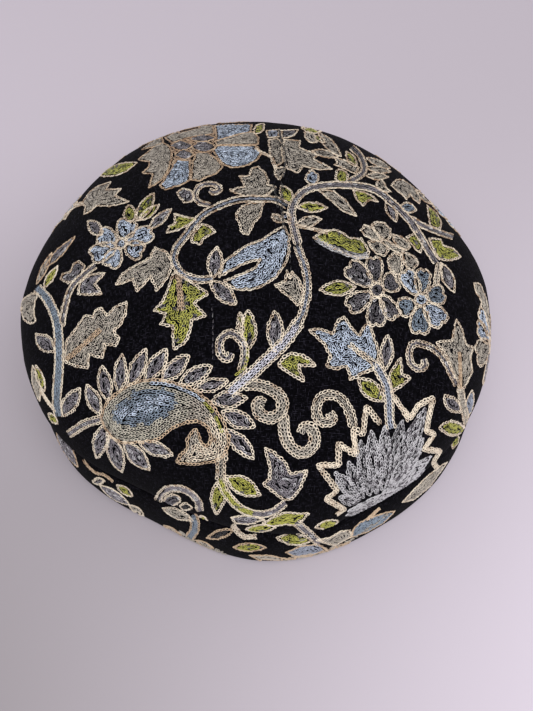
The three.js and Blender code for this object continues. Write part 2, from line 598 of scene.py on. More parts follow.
def inset(outline, samples, depth):
    """The rows that lie at one depth inside a closed flat outline."""
    points, inward = samples
    moved = points + inward * depth
    gaps = np.linalg.norm(moved[:, None] - outline[None], axis=2).min(axis=1)
    kept = moved[gaps > depth - NEAR_EDGE]
    if len(kept) < 3:
        return []
    jumps = np.linalg.norm(np.roll(kept, -1, axis=0) - kept, axis=1)
    breaks = np.flatnonzero(jumps > WIDEST_JUMP)
    if len(breaks) == 0:
        return [closed(kept)]
    kept = np.roll(kept, -(breaks[0] + 1), axis=0)
    return [row for row in np.split(kept, breaks[1:] - breaks[0]) if len(row) > 1]


def deepest(outline, samples):
    """The largest depth at which a row still fits inside an outline."""
    low = 0
    high = DEEPEST
    while high - low > DEPTH_STEP:
        depth = (low + high) / 2
        if inset(outline, samples, depth):
            low = depth
        else:
            high = depth
    return low


print("a notch has", FAN_STEPS - 1, "points")

# %% [markdown]
# ## Outlines laid flat
# Depths and corners are easiest to find on a plane. An outline is flattened onto a plane that touches the
# cloth at its middle, worked on there in millimetres, and dropped back along the plane's normal. The face
# under its middle tells which cloth piece is its home. All outlines are turned to have their inside on the
# left, and they are divided at their sharp corners, so that a stitch ends at every tip.

# %% Flatten the outlines
OUTLINE_STEP = 0.28
CORNER_REACH = 3
SHARP_TURN = math.radians(50)
LIFT = 20 * MM


def flatten(places):
    """Points on the cloth as flat millimetres, and the way back to the cloth."""
    found = [surface.find_nearest(Vector(place)) for place in places]
    normal = sum((hit[1] for hit in found), Vector()).normalized()
    middle = Vector(places.mean(axis=0))
    face = surface.ray_cast(middle + normal * LIFT, -normal)[2]
    across = normal.orthogonal().normalized()
    upward = normal.cross(across)
    axes = np.array([across, upward])
    flat = (places - np.array(middle)) @ axes.T / MM

    def unflatten(points):
        return drop(np.array(middle) + points @ axes * MM, normal, LIFT)

    return flat, unflatten, face_homes[face]


def turned_left(outline):
    """The outline in the direction that has its inside on the left."""
    x, y = outline.T
    area = np.sum(x * np.roll(y, -1) - y * np.roll(x, -1))
    return outline if area > 0 else outline[::-1]


def corner_runs(outline):
    """A closed flat outline as stretches from one sharp corner to the next."""
    before = outline - np.roll(outline, CORNER_REACH, axis=0)
    after = np.roll(outline, -CORNER_REACH, axis=0) - outline
    lengths = np.linalg.norm(before, axis=1) * np.linalg.norm(after, axis=1)
    turns = np.arccos(np.clip(np.sum(before * after, axis=1) / lengths, -1, 1))
    around = [np.roll(turns, shift) for shift in range(-CORNER_REACH, CORNER_REACH + 1)]
    corners = np.flatnonzero((turns > SHARP_TURN) & (turns == np.max(around, axis=0)))
    if len(corners) == 0:
        return [closed(outline)]
    whole = closed(np.roll(outline, -corners[0], axis=0))
    marks = [*(corners - corners[0]), len(outline)]
    return [whole[first:last + 1] for first, last in zip(marks, marks[1:])]


def flat_outline(chart, corners):
    """A charted outline in flat millimetres, with its way back to the cloth and its home."""
    dense = evenly(closed(np.array(corners, float)), OUTLINE_STEP / chart.unit)[:-1]
    flat, unflatten, home = flatten(chart.place(dense))
    return turned_left(evenly(closed(flat), OUTLINE_STEP)[:-1]), unflatten, home


print("outlines have a point every", OUTLINE_STEP, "mm")

# %% [markdown]
# ## Stitches for the gaps
# Where rows meet they leave bare places. So a close grid of single stitches is laid over the inside of an
# outline, each along the nearest edge, and most of them are left out later, where a row already lies. To
# tell inside from outside, a line is drawn sideways from each place: it crosses the outline an odd number
# of times if the place is inside.

# %% Find the gaps
GAP_STEP = 0.5
GAP_SCATTER = 0.2
GAP_DEPTH = 0.85
GAP_LENGTH = 1.3
SEED = 11
rng = np.random.default_rng(SEED)


def gap_stitches(outline):
    """Single stitches all over the inside of a flat outline, each along the nearest edge."""
    low = outline.min(axis=0)
    high = outline.max(axis=0)
    across, above = np.meshgrid(np.arange(low[0], high[0], GAP_STEP), np.arange(low[1], high[1], GAP_STEP))
    grid = np.stack([across.ravel(), above.ravel()], axis=1)
    grid += rng.uniform(-GAP_SCATTER, GAP_SCATTER, grid.shape)
    x, y = grid.T[:, :, None]
    x1, y1 = outline.T[:, None]
    x2, y2 = np.roll(outline, -1, axis=0).T[:, None]
    rise = np.where(y2 == y1, 1, y2 - y1)
    crossed = ((y1 > y) != (y2 > y)) & (x < (x2 - x1) * (y - y1) / rise + x1)
    gaps = np.linalg.norm(grid[:, None] - outline[None], axis=2)
    inside = (crossed.sum(axis=1) % 2 == 1) & (gaps.min(axis=1) > GAP_DEPTH)
    along = np.roll(outline, -1, axis=0) - np.roll(outline, 1, axis=0)
    along /= np.linalg.norm(along, axis=1, keepdims=True)
    halves = along[gaps.argmin(axis=1)] * GAP_LENGTH / 2
    return [np.stack([place - half, place + half]) for place, half in zip(grid[inside], halves[inside])]


print("a gap stitch is tried every", GAP_STEP, "mm")

# %% [markdown]
# ## Sewing a shape
# A shape is its outline, the rows inside it and its gap stitches. They are only listed here, one list for
# each layer, because the layers are laid on the cloth in order at the end. The rows are spread evenly from
# the edge to the middle, and their stitches get a little wider or narrower to fill it.

# %% Sew shapes
ROW_GAP = 1.25
OUTLINE_WIDTH = 0.88
FILL_WIDTH = 0.96
EDGE_SHARE = 0.25
MIDDLE_SHARE = 0.35
WIDEST_FILL = 1.1
MIDDLE_TINT = 0.5
SHAPE_TINT_SPREAD = 0.06
GROUND_TINT = 0.26
Row = namedtuple("Row", "points thread width home tint")
outline_rows = []
neat_rows = []
fill_rows = []
gap_rows = []
dense_rows = []
ground_rows = []


def sew_ground(chart, corners, thread, rows):
    """Fill what is still bare inside an outline."""
    outline, unflatten, home = flat_outline(chart, corners)
    for stitch in gap_stitches(outline):
        rows.append(Row(unflatten(stitch), thread, FILL_WIDTH, home, GROUND_TINT))


def sew_shape(chart, corners, fill, edge="cream", rows=fill_rows, tint_spread=SHAPE_TINT_SPREAD):
    """Outline a closed shape, then fill it with rows from its edge to its middle."""
    outline, unflatten, home = flat_outline(chart, corners)
    samples = edge_samples(outline)
    reach = deepest(outline, samples)
    tint = rng.normal(MIDDLE_TINT, tint_spread)
    for run in corner_runs(outline):
        outline_rows.append(Row(unflatten(run), edge, OUTLINE_WIDTH, home, tint))
    count = max(0, round(reach / ROW_GAP - EDGE_SHARE))
    spacing = reach / (count + MIDDLE_SHARE)
    size = FILL_WIDTH * min(WIDEST_FILL, spacing / ROW_GAP)
    for k in range(count):
        for row in inset(outline, samples, spacing * (k + 1)):
            rows.append(Row(unflatten(row), fill, size, home, tint))
    for stitch in gap_stitches(outline):
        gap_rows.append(Row(unflatten(stitch), fill, FILL_WIDTH, home, tint))


print("rows are about", ROW_GAP, "mm apart")

# %% [markdown]
# ## Sewing a stem
# A stem is rows side by side: its two edges, and its core between them. How many there are comes from its
# true width on the cloth, because a stem on a steep side looks narrower in the photograph than it is. The
# edges are sewn first.

# %% Sew stems
STEM_GAP = 1.05
ONE_ROW_UNDER = 1.7
TWO_ROWS_UNDER = 2.3
STEM_STEP = 0.8
STEM_EDGE = 0.85
LONE_STEM_WIDTH = 0.84
LEAST_STEM_WIDTH = 0.62
MOST_STEM_WIDTH = 0.9
STEM_TINT_SPREAD = 0.1
stem_rows = []


def sideways(path):
    """The direction to one side at each point of a flat path."""
    along = np.gradient(path, axis=0)
    aside = np.stack([-along[:, 1], along[:, 0]], axis=1)
    return aside / np.linalg.norm(aside, axis=1, keepdims=True)


def sew_stem(chart, stem):
    """Rows side by side along a stem, as many as its width on the cloth has room for."""
    path = smooth(stem.path)
    aside = sideways(path)
    one_edge, other_edge = (chart.place(path + aside * side * stem.width / 2) for side in (-1, 1))
    width = np.median(np.linalg.norm(one_edge - other_edge, axis=1)) / MM
    if width < ONE_ROW_UNDER:
        count = 1
    elif width < TWO_ROWS_UNDER:
        count = 2
    else:
        count = max(3, round(width / STEM_GAP))
    spacing = (width - LOOP_WIDTH / MM * STEM_EDGE) / max(1, count - 1)
    size = min(MOST_STEM_WIDTH, max(LEAST_STEM_WIDTH, spacing / STEM_GAP))
    if count == 1:
        size = LONE_STEM_WIDTH
    tint = rng.normal(MIDDLE_TINT, STEM_TINT_SPREAD)
    for k in sorted(range(count), key=lambda k: -abs(k - (count - 1) / 2)):
        offset = (k - (count - 1) / 2) * spacing / width * stem.width
        thread = stem.edge if k in (0, count - 1) else stem.core
        places = chart.place(evenly(path + aside * offset, STEM_STEP / chart.unit))
        stem_rows.append(Row(places, thread, size, None, tint))


print("stem rows are about", STEM_GAP, "mm apart")

# %% [markdown]
# ## The shapes of the motifs
# Most motifs are leaves and petals. A leaf is a sine curve on either side of its midline, leaning a little
# towards its base. A petal is narrow at its base, broad near its end and notched at its tip, so its side is
# given by a few shares of its length and width. A flower is a ring of petals and a round centre. Shapes
# with lobes or teeth are given by their corners.

# %% Describe the motifs
Leaf = namedtuple("Leaf", "fill base tip width")
Petal = namedtuple("Petal", "fill base tip width")
Lobed = namedtuple("Lobed", "fill corners")
Flower = namedtuple("Flower", "fill core_fill centre core petals")
Stem = namedtuple("Stem", "edge core width path")
LEAF_STEPS = 18
LEAF_LEAN = 0.95
LEAF_BLUNT = 0.9
PETAL_STEPS = 4
Step = namedtuple("Step", "along aside")
PETAL_SIDE = [
    Step(0, 0), Step(0.1, 0.24), Step(0.32, 0.41), Step(0.58, 0.49), Step(0.8, 0.48), Step(0.95, 0.36),
    Step(1, 0.2), Step(0.97, 0.08), Step(0.9, 0),
]


def midline(base, tip):
    """The base of a motif, the way to its tip, and the direction to its side."""
    base = np.array(base, float)
    axis = np.array(tip, float) - base
    return base, axis, np.array([-axis[1], axis[0]]) / np.linalg.norm(axis)


def leaf_outline(base, tip, width):
    """A pointed oval from its base to its tip."""
    base, axis, side = midline(base, tip)
    t = np.linspace(0, 1, LEAF_STEPS)[:, None]
    half = width / 2 * np.sin(np.pi * t**LEAF_LEAN).clip(0) ** LEAF_BLUNT
    middle = base + axis * t
    return np.vstack([middle + side * half, (middle - side * half)[-2:0:-1]])


def petal_outline(base, tip, width):
    """A petal with a notched tip."""
    base, axis, side = midline(base, tip)
    side = side * width
    one_side = np.array([base + axis * step.along + side * step.aside for step in PETAL_SIDE])
    other_side = np.array([base + axis * step.along - side * step.aside for step in PETAL_SIDE])
    return np.vstack([smooth(one_side, PETAL_STEPS), smooth(other_side, PETAL_STEPS)[-2:0:-1]])


def round_outline(centre, radius):
    """A circle."""
    turns = np.linspace(0, 2 * np.pi, LEAF_STEPS, endpoint=False)
    return np.array(centre) + radius * np.stack([np.cos(turns), np.sin(turns)], axis=1)


def sew_flower(chart, flower):
    """A ring of petals around a round centre."""
    centre = np.array(flower.centre, float)
    sew_shape(chart, round_outline(centre, flower.core), flower.core_fill)
    for tip, width in flower.petals:
        outward = np.array(tip, float) - centre
        base = centre + outward / np.linalg.norm(outward) * flower.core
        sew_shape(chart, petal_outline(base, tip, width), flower.fill)


def sew_motifs(chart, motifs, edge="cream"):
    """Sew each motif of a list in the way of its kind."""
    for motif in motifs:
        if isinstance(motif, Leaf):
            sew_shape(chart, leaf_outline(motif.base, motif.tip, motif.width), motif.fill, edge)
        elif isinstance(motif, Petal):
            sew_shape(chart, petal_outline(motif.base, motif.tip, motif.width), motif.fill, edge)
        elif isinstance(motif, Lobed):
            sew_shape(chart, motif.corners, motif.fill, edge)
        elif isinstance(motif, Flower):
            sew_flower(chart, motif)
        else:
            sew_stem(chart, motif)


print("a leaf has", LEAF_STEPS, "points from its base to its tip")

# %% [markdown]
# ## Stems and scrolls
# Long stems wind over the crown and tie the motifs together. Each has a cream edge and a core of another
# colour, and it is charted by a few points along its middle. The scrolls are stems that curl up at their
# end.

# %% Sew the stems
STEMS = [
    Stem("cream", "lavender", 9, [(297, 246), (303, 262), (307, 278), (307, 294), (303, 312), (297, 325)]),
    Stem("cream", "pearl", 13, [(299, 322), (288, 338), (275, 352), (262, 364), (249, 376), (230, 392)]),
    Stem("cream", "slate", 8, [
        (298, 244), (292, 220), (292, 208), (297, 198), (305, 191), (316, 187), (340, 185), (372, 189),
        (392, 203), (412, 224), (428, 250), (436, 262),
    ]),
    Stem("cream", "slate", 7, [(349, 182), (361, 175), (364, 167), (360, 156), (352, 148)]),
    Stem("cream", "slate", 6, [(411, 219), (425, 227), (440, 233), (452, 237)]),
    Stem("cream", "lavender", 8, [
        (287, 206), (276, 200), (262, 199), (245, 199), (230, 202), (215, 208), (203, 215), (193, 226),
        (184, 238), (176, 249), (174, 260), (180, 272), (188, 277), (200, 280), (212, 279),
    ]),
    Stem("cream", "steel", 10, [
        (37, 288), (46, 297), (54, 312), (58, 328), (59, 345), (59, 365), (57, 402), (59, 415),
    ]),
    Stem("cream", "slate", 6.5, [(62, 326), (65, 308), (70, 291), (78, 280), (91, 269), (95, 266)]),
    Stem("cream", "lavender", 10, [(374, 362), (381, 374), (387, 387), (389, 400), (389, 415), (391, 428)]),
    Stem("cream", "grey", 10, [(224, 451), (221, 464), (221, 479)]),
    Stem("cream", "green", 8.5, [(221, 479), (224, 489), (231, 499), (240, 508), (252, 513)]),
    Stem("cream", "slate", 7.5, [(252, 513), (263, 514), (274, 511), (285, 503)]),
    Stem("cream", "cream", 3, [(40, 388), (47, 400), (56, 411)]),
    Stem("cream", "cream", 3, [(255, 148), (264, 154), (271, 157), (275, 166)]),
    Stem("cream", "grey", 7, [(460, 388), (463, 405), (467, 424)]),
    Stem("cream", "slate", 9, [(102, 419), (85, 424), (69, 434)]),
    Stem("cream", "grey", 6, [(436, 285), (437, 274), (439, 263)]),
    Stem("cream", "cream", 4, [(298, 226), (313, 229), (328, 233)]),
    Stem("cream", "cream", 5, [(393, 395), (409, 420)]),
    Stem("cream", "cream", 4, [(84, 203), (72, 208), (64, 219)]),
    Stem("green", "green", 4, [(247, 345), (246, 365), (236, 375)]),
]
SCROLLS = [
    Stem("cream", "grey", 12, [
        (244, 385), (258, 385), (270, 389), (280, 396), (283, 406), (279, 414), (271, 418), (261, 415),
        (257, 408), (259, 402), (264, 404),
    ]),
    Stem("cream", "grey", 12, [
        (283, 410), (283, 423), (285, 436), (291, 447), (301, 453), (311, 449), (315, 440), (312, 429),
        (305, 427), (302, 433),
    ]),
    Stem("cream", "grey", 10, [
        (353, 427), (350, 413), (344, 402), (334, 395), (323, 396), (316, 406), (318, 418), (326, 423),
        (333, 419), (330, 413),
    ]),
    Stem("cream", "slate", 7, [
        (457, 385), (450, 372), (444, 360), (436, 351), (425, 345), (413, 344), (409, 352), (411, 364),
        (418, 369), (425, 366), (424, 360),
    ]),
    Stem("cream", "slate", 9, [
        (240, 380), (243, 365), (245, 352), (243, 343), (237, 336), (229, 333), (222, 338), (219, 347),
        (222, 356), (228, 359), (231, 354),
    ]),
    Stem("cream", "slate", 6, [
        (210, 205), (200, 203), (195, 196), (199, 187), (209, 184), (218, 186), (220, 190), (214, 193),
        (210, 191),
    ]),
]
MIDRIBS = [
    Stem("beige", "beige", 5, [(66, 360), (82, 346), (100, 330)]),
    Stem("beige", "beige", 7, [(178, 275), (180, 292), (181, 310)]),
    Stem("cream", "cream", 6, [(374, 363), (362, 354), (350, 345)]),
    Stem("beige", "beige", 4, [(459, 352), (460, 368), (460, 388)]),
    Stem("silver", "silver", 6, [(316, 239), (328, 246), (345, 253), (360, 257), (367, 255)]),
]
sew_motifs(photo_chart, STEMS + SCROLLS + MIDRIBS)
print(len(stem_rows), "rows in stems and scrolls")

# %% [markdown]
# ## The paisley
# The largest motif on the left is a paisley: a drop with a curled tail, ringed with slate petals. Its
# outline is one closed curve. Its colour changes across it, from a long blue heart through steel and olive
# to a cream tail. The heart is an ellipse, so the thread of each stitch is chosen by the sum of its
# distances from the two foci, with a little chance at the borders.

# %% Sew the paisley
PAISLEY = [
    (101, 418), (104, 408), (110, 399), (120, 391), (130, 385), (140, 381), (151, 380), (165, 381),
    (180, 385), (195, 391), (206, 399), (215, 409), (221, 418), (226, 428), (229, 440), (226, 450),
    (219, 459), (203, 463), (190, 464), (177, 462), (181, 455), (187, 448), (188, 440), (191, 433),
    (196, 429), (199, 434), (201, 441), (206, 446), (210, 442), (211, 436), (207, 427), (201, 423),
    (194, 421), (185, 423), (175, 427), (165, 434), (156, 440), (140, 442), (125, 443), (114, 438),
    (106, 429),
]
HEART_FOCI = [(117, 416), (172, 398)]
PAISLEY_BLUE = [(150, 383), (165, 384), (179, 388), (193, 394), (203, 401)]
PAISLEY_OLIVE = [(204, 402), (212, 411), (218, 421), (222, 432)]
Zone = namedtuple("Zone", "reach thread")
PAISLEY_ZONES = [
    Zone(23.5, "blue"), Zone(26.4, "steel"), Zone(36, "moss"), Zone(50, "grey"), Zone(999, "cream"),
]
ZONE_BLUR = 0.6
PAISLEY_PETALS = [
    Leaf("slate", (100, 414), (87, 385), 13),
    Leaf("slate", (108, 401), (102, 366), 13),
    Leaf("slate", (119, 393), (122, 354), 12),
    Leaf("slate", (129, 386), (146, 349), 14),
    Leaf("slate", (145, 381), (167, 349), 15),
    Leaf("slate", (162, 381), (189, 355), 15),
    Leaf("slate", (180, 384), (212, 366), 15),
    Leaf("slate", (195, 389), (228, 381), 12),
    Leaf("slate", (212, 401), (247, 398), 16),
    Leaf("slate", (222, 412), (255, 427), 16),
    Leaf("slate", (227, 430), (254, 458), 15),
    Leaf("slate", (104, 425), (97, 458), 14),
    Leaf("slate", (110, 436), (122, 472), 15),
    Leaf("slate", (124, 442), (150, 470), 15),
    Leaf("slate", (139, 442), (173, 455), 13),
]
heart_foci = [Vector(focus) for focus in photo_chart.place(np.array(HEART_FOCI))]


def paisley_thread(place):
    """The thread of a stitch of the paisley, from its distances to the foci of the heart."""
    reach = sum((place - focus).length for focus in heart_foci) / MM + rng.normal(0, ZONE_BLUR)
    return next(zone.thread for zone in PAISLEY_ZONES if reach < zone.reach)


sew_shape(photo_chart, smooth(PAISLEY + PAISLEY[:1])[:-1], paisley_thread, "beige", neat_rows)
sew_motifs(photo_chart, PAISLEY_PETALS)
sew_motifs(photo_chart, [Stem("blue", "blue", 3, PAISLEY_BLUE), Stem("green", "green", 3, PAISLEY_OLIVE)])
print(len(PAISLEY_PETALS), "petals round the paisley")

# %% [markdown]
# ## Leaves and petals of the crown
# Small leaves fill the black ground between the stems. They are rows of a table: the fill, the base, the
# tip and the width, read off the photograph. One of them has more corners than a leaf, so these are listed,
# and two at the left have a beige edge.

# %% Sew the leaves
LEAVES = [
    Leaf("slate", (102, 235), (88, 221), 12),
    Leaf("slate", (149, 229), (171, 209), 9),
    Leaf("slate", (54, 352), (36, 334), 14),
    Leaf("slate", (213, 278), (217, 247), 14),
    Leaf("slate", (211, 281), (236, 305), 15),
    Leaf("slate", (275, 351), (275, 311), 15),
    Leaf("slate", (385, 370), (388, 335), 12),
    Leaf("slate", (62, 416), (80, 388), 14),
    Leaf("slate", (460, 412), (444, 396), 12),
    Leaf("slate", (442, 264), (454, 293), 11),
    Leaf("slate", (386, 199), (396, 222), 9),
    Leaf("grey", (366, 176), (388, 177), 7),
    Leaf("grey", (366, 168), (391, 172), 6),
    Leaf("grey", (366, 158), (390, 169), 6),
    Leaf("grey", (33, 366), (40, 401), 7),
    Leaf("green", (49, 413), (58, 424), 6),
    Leaf("grey", (305, 132), (316, 143), 9),
    Leaf("green", (131, 223), (129, 205), 12),
    Leaf("green", (137, 221), (154, 193), 12),
    Leaf("green", (139, 221), (159, 205), 8),
    Leaf("green", (101, 176), (137, 163), 10),
    Leaf("green", (44, 288), (58, 266), 7),
    Leaf("green", (249, 349), (248, 310), 15),
    Leaf("green", (241, 336), (240, 312), 6),
    Leaf("green", (281, 186), (293, 204), 11),
    Leaf("green", (297, 207), (327, 208), 10),
    Leaf("green", (355, 287), (320, 290), 14),
    Leaf("green", (226, 477), (260, 495), 17),
    Leaf("green", (221, 479), (216, 514), 14),
    Leaf("green", (383, 401), (358, 378), 16),
    Leaf("green", (465, 429), (439, 427), 14),
    Leaf("green", (345, 184), (338, 169), 12),
    Leaf("green", (356, 167), (346, 152), 8),
    Leaf("green", (36, 366), (45, 391), 7),
    Leaf("green", (254, 134), (264, 124), 8),
    Leaf("green", (301, 128), (321, 132), 7),
    Leaf("green", (315, 136), (325, 143), 5),
    Leaf("grey", (297, 224), (321, 219), 10),
    Leaf("grey", (415, 190), (436, 206), 7),
    Leaf("grey", (318, 133), (341, 157), 9),
    Leaf("grey", (312, 151), (338, 157), 7),
    Lobed("grey", [(276, 168), (285, 168), (284, 174), (279, 180), (275, 174)]),
    Leaf("grey", (283, 222), (272, 215), 7),
    Leaf("blue", (313, 186), (311, 170), 13),
    Leaf("steel", (400, 206), (416, 210), 10),
    Leaf("lavender", (466, 418), (472, 390), 8),
    Leaf("lavender", (283, 212), (291, 223), 8),
]
LEFT_EDGE = [
    Leaf("slate", (45, 268), (75, 237), 7),
    Leaf("grey", (37, 284), (52, 253), 6),
]
sew_motifs(photo_chart, LEAVES)
sew_motifs(photo_chart, LEFT_EDGE, edge="beige")
print(len(LEAVES) + len(LEFT_EDGE), "leaves on the crown")

# %% [markdown]
# ## Flowers of the crown
# There are two blue flowers, a dark one, a slanted grey one, and the half of a fifth at the top of the
# photograph. A flower's petals are pairs of a tip and a width, and other petals are given by their corners.
# The half flower lies far back, where its stitches show small and close, so it is filled more densely, with
# steel under its blue. The tulips and the serrated leaves follow.

# %% Sew the flowers
FLOWERS = [
    Flower("blue", "blue", (121, 244), 5, [
        ((129, 220), 20), ((153, 232), 17), ((143, 253), 19), ((109, 267), 18), ((91, 257), 18),
        ((99, 234), 19),
    ]),
    Flower("coal", "coal", (377, 290), 7, [
        ((373, 257), 16), ((397, 280), 20), ((396, 318), 15), ((376, 326), 19), ((348, 308), 19),
        ((348, 265), 20),
    ]),
    Flower("blue", "blue", (421, 300), 6, [((404, 271), 17), ((443, 324), 20)]),
    Petal("steel", (421, 306), (419, 334), 20),
    Petal("steel", (421, 294), (423, 269), 15),
    Petal("steel", (427, 298), (444, 293), 20),
    Petal("steel", (415, 303), (399, 310), 19),
]
SLANTED_FLOWER = [
    Lobed("grey", [
        (361, 231), (364, 225), (368, 226), (373, 229), (377, 235), (382, 241), (375, 240), (368, 238),
    ]),
    Lobed("grey", [
        (372, 225), (377, 222), (384, 223), (390, 229), (391, 236), (386, 241), (380, 237), (375, 231),
    ]),
    Lobed("grey", [(368, 242), (375, 241), (384, 243), (388, 249), (385, 256), (378, 255), (373, 251)]),
    Lobed("grey", [(393, 235), (399, 236), (406, 240), (410, 247), (406, 250), (399, 247), (394, 243)]),
    Lobed("grey", [(388, 258), (394, 253), (401, 256), (402, 264), (401, 273), (396, 275), (389, 268)]),
    Lobed("grey", [(402, 252), (409, 254), (416, 258), (418, 263), (413, 270), (407, 268), (403, 261)]),
    Stem("cream", "grey", 7, [(385, 242), (394, 248), (403, 252)]),
]
HALF_FLOWER = [
    Lobed("grey", [
        (163, 143), (170, 147), (172, 156), (169, 168), (163, 179), (156, 184), (149, 188), (151, 180),
        (153, 174), (143, 173), (149, 167), (150, 162), (138, 160), (147, 153), (154, 147),
    ]),
    Lobed("blue", [
        (177, 160), (190, 161), (190, 180), (182, 185), (174, 187), (166, 190), (160, 186), (167, 175),
    ]),
    Lobed("grey", [
        (193, 162), (196, 153), (209, 153), (217, 160), (223, 167), (215, 175), (206, 177), (200, 181),
        (191, 180),
    ]),
    Lobed("blue", [
        (213, 151), (217, 146), (240, 146), (256, 146), (261, 153), (257, 160), (246, 166), (232, 168),
        (222, 164), (217, 157),
    ]),
    Lobed("grey", [
        (215, 142), (226, 138), (240, 134), (253, 132), (258, 137), (258, 145), (240, 145), (217, 145),
    ]),
    Lobed("grey", [
        (165, 138), (180, 131), (196, 127), (213, 126), (214, 134), (200, 136), (188, 138), (172, 143),
    ]),
    Lobed("blue", [(215, 126), (229, 125), (252, 125), (250, 132), (232, 137), (217, 141)]),
    Lobed("grey", [(142, 150), (152, 142), (162, 138), (163, 143), (154, 147)]),
    Leaf("slate", (175, 155), (194, 155), 10),
    Leaf("slate", (171, 146), (193, 146), 10),
    Leaf("slate", (192, 147), (216, 147), 11),
    Leaf("slate", (190, 139), (216, 138), 7),
]
UNDER_FILL = {"blue": "steel", "grey": "grey", "slate": "slate"}
HALF_FLOWER_GROUND = [
    (168, 146), (176, 138), (198, 134), (216, 134), (217, 150), (221, 164), (192, 176), (168, 178),
]
sew_motifs(photo_chart, FLOWERS + SLANTED_FLOWER)
sew_motifs(photo_chart, HALF_FLOWER, edge="beige")
for petal in HALF_FLOWER:
    is_leaf = isinstance(petal, Leaf)
    corners = leaf_outline(petal.base, petal.tip, petal.width) if is_leaf else petal.corners
    sew_ground(photo_chart, corners, UNDER_FILL[petal.fill], dense_rows)
sew_ground(photo_chart, HALF_FLOWER_GROUND, "beige", ground_rows)
print("three open flowers, a slanted one and one cut in half")

# %% [markdown]
# ## Lobed leaves and tulips
# Serrated leaves and tulips are too uneven for a formula. Each is a list of its corners, read off the
# photograph tip by tip and notch by notch, and the rows inside it follow from that.

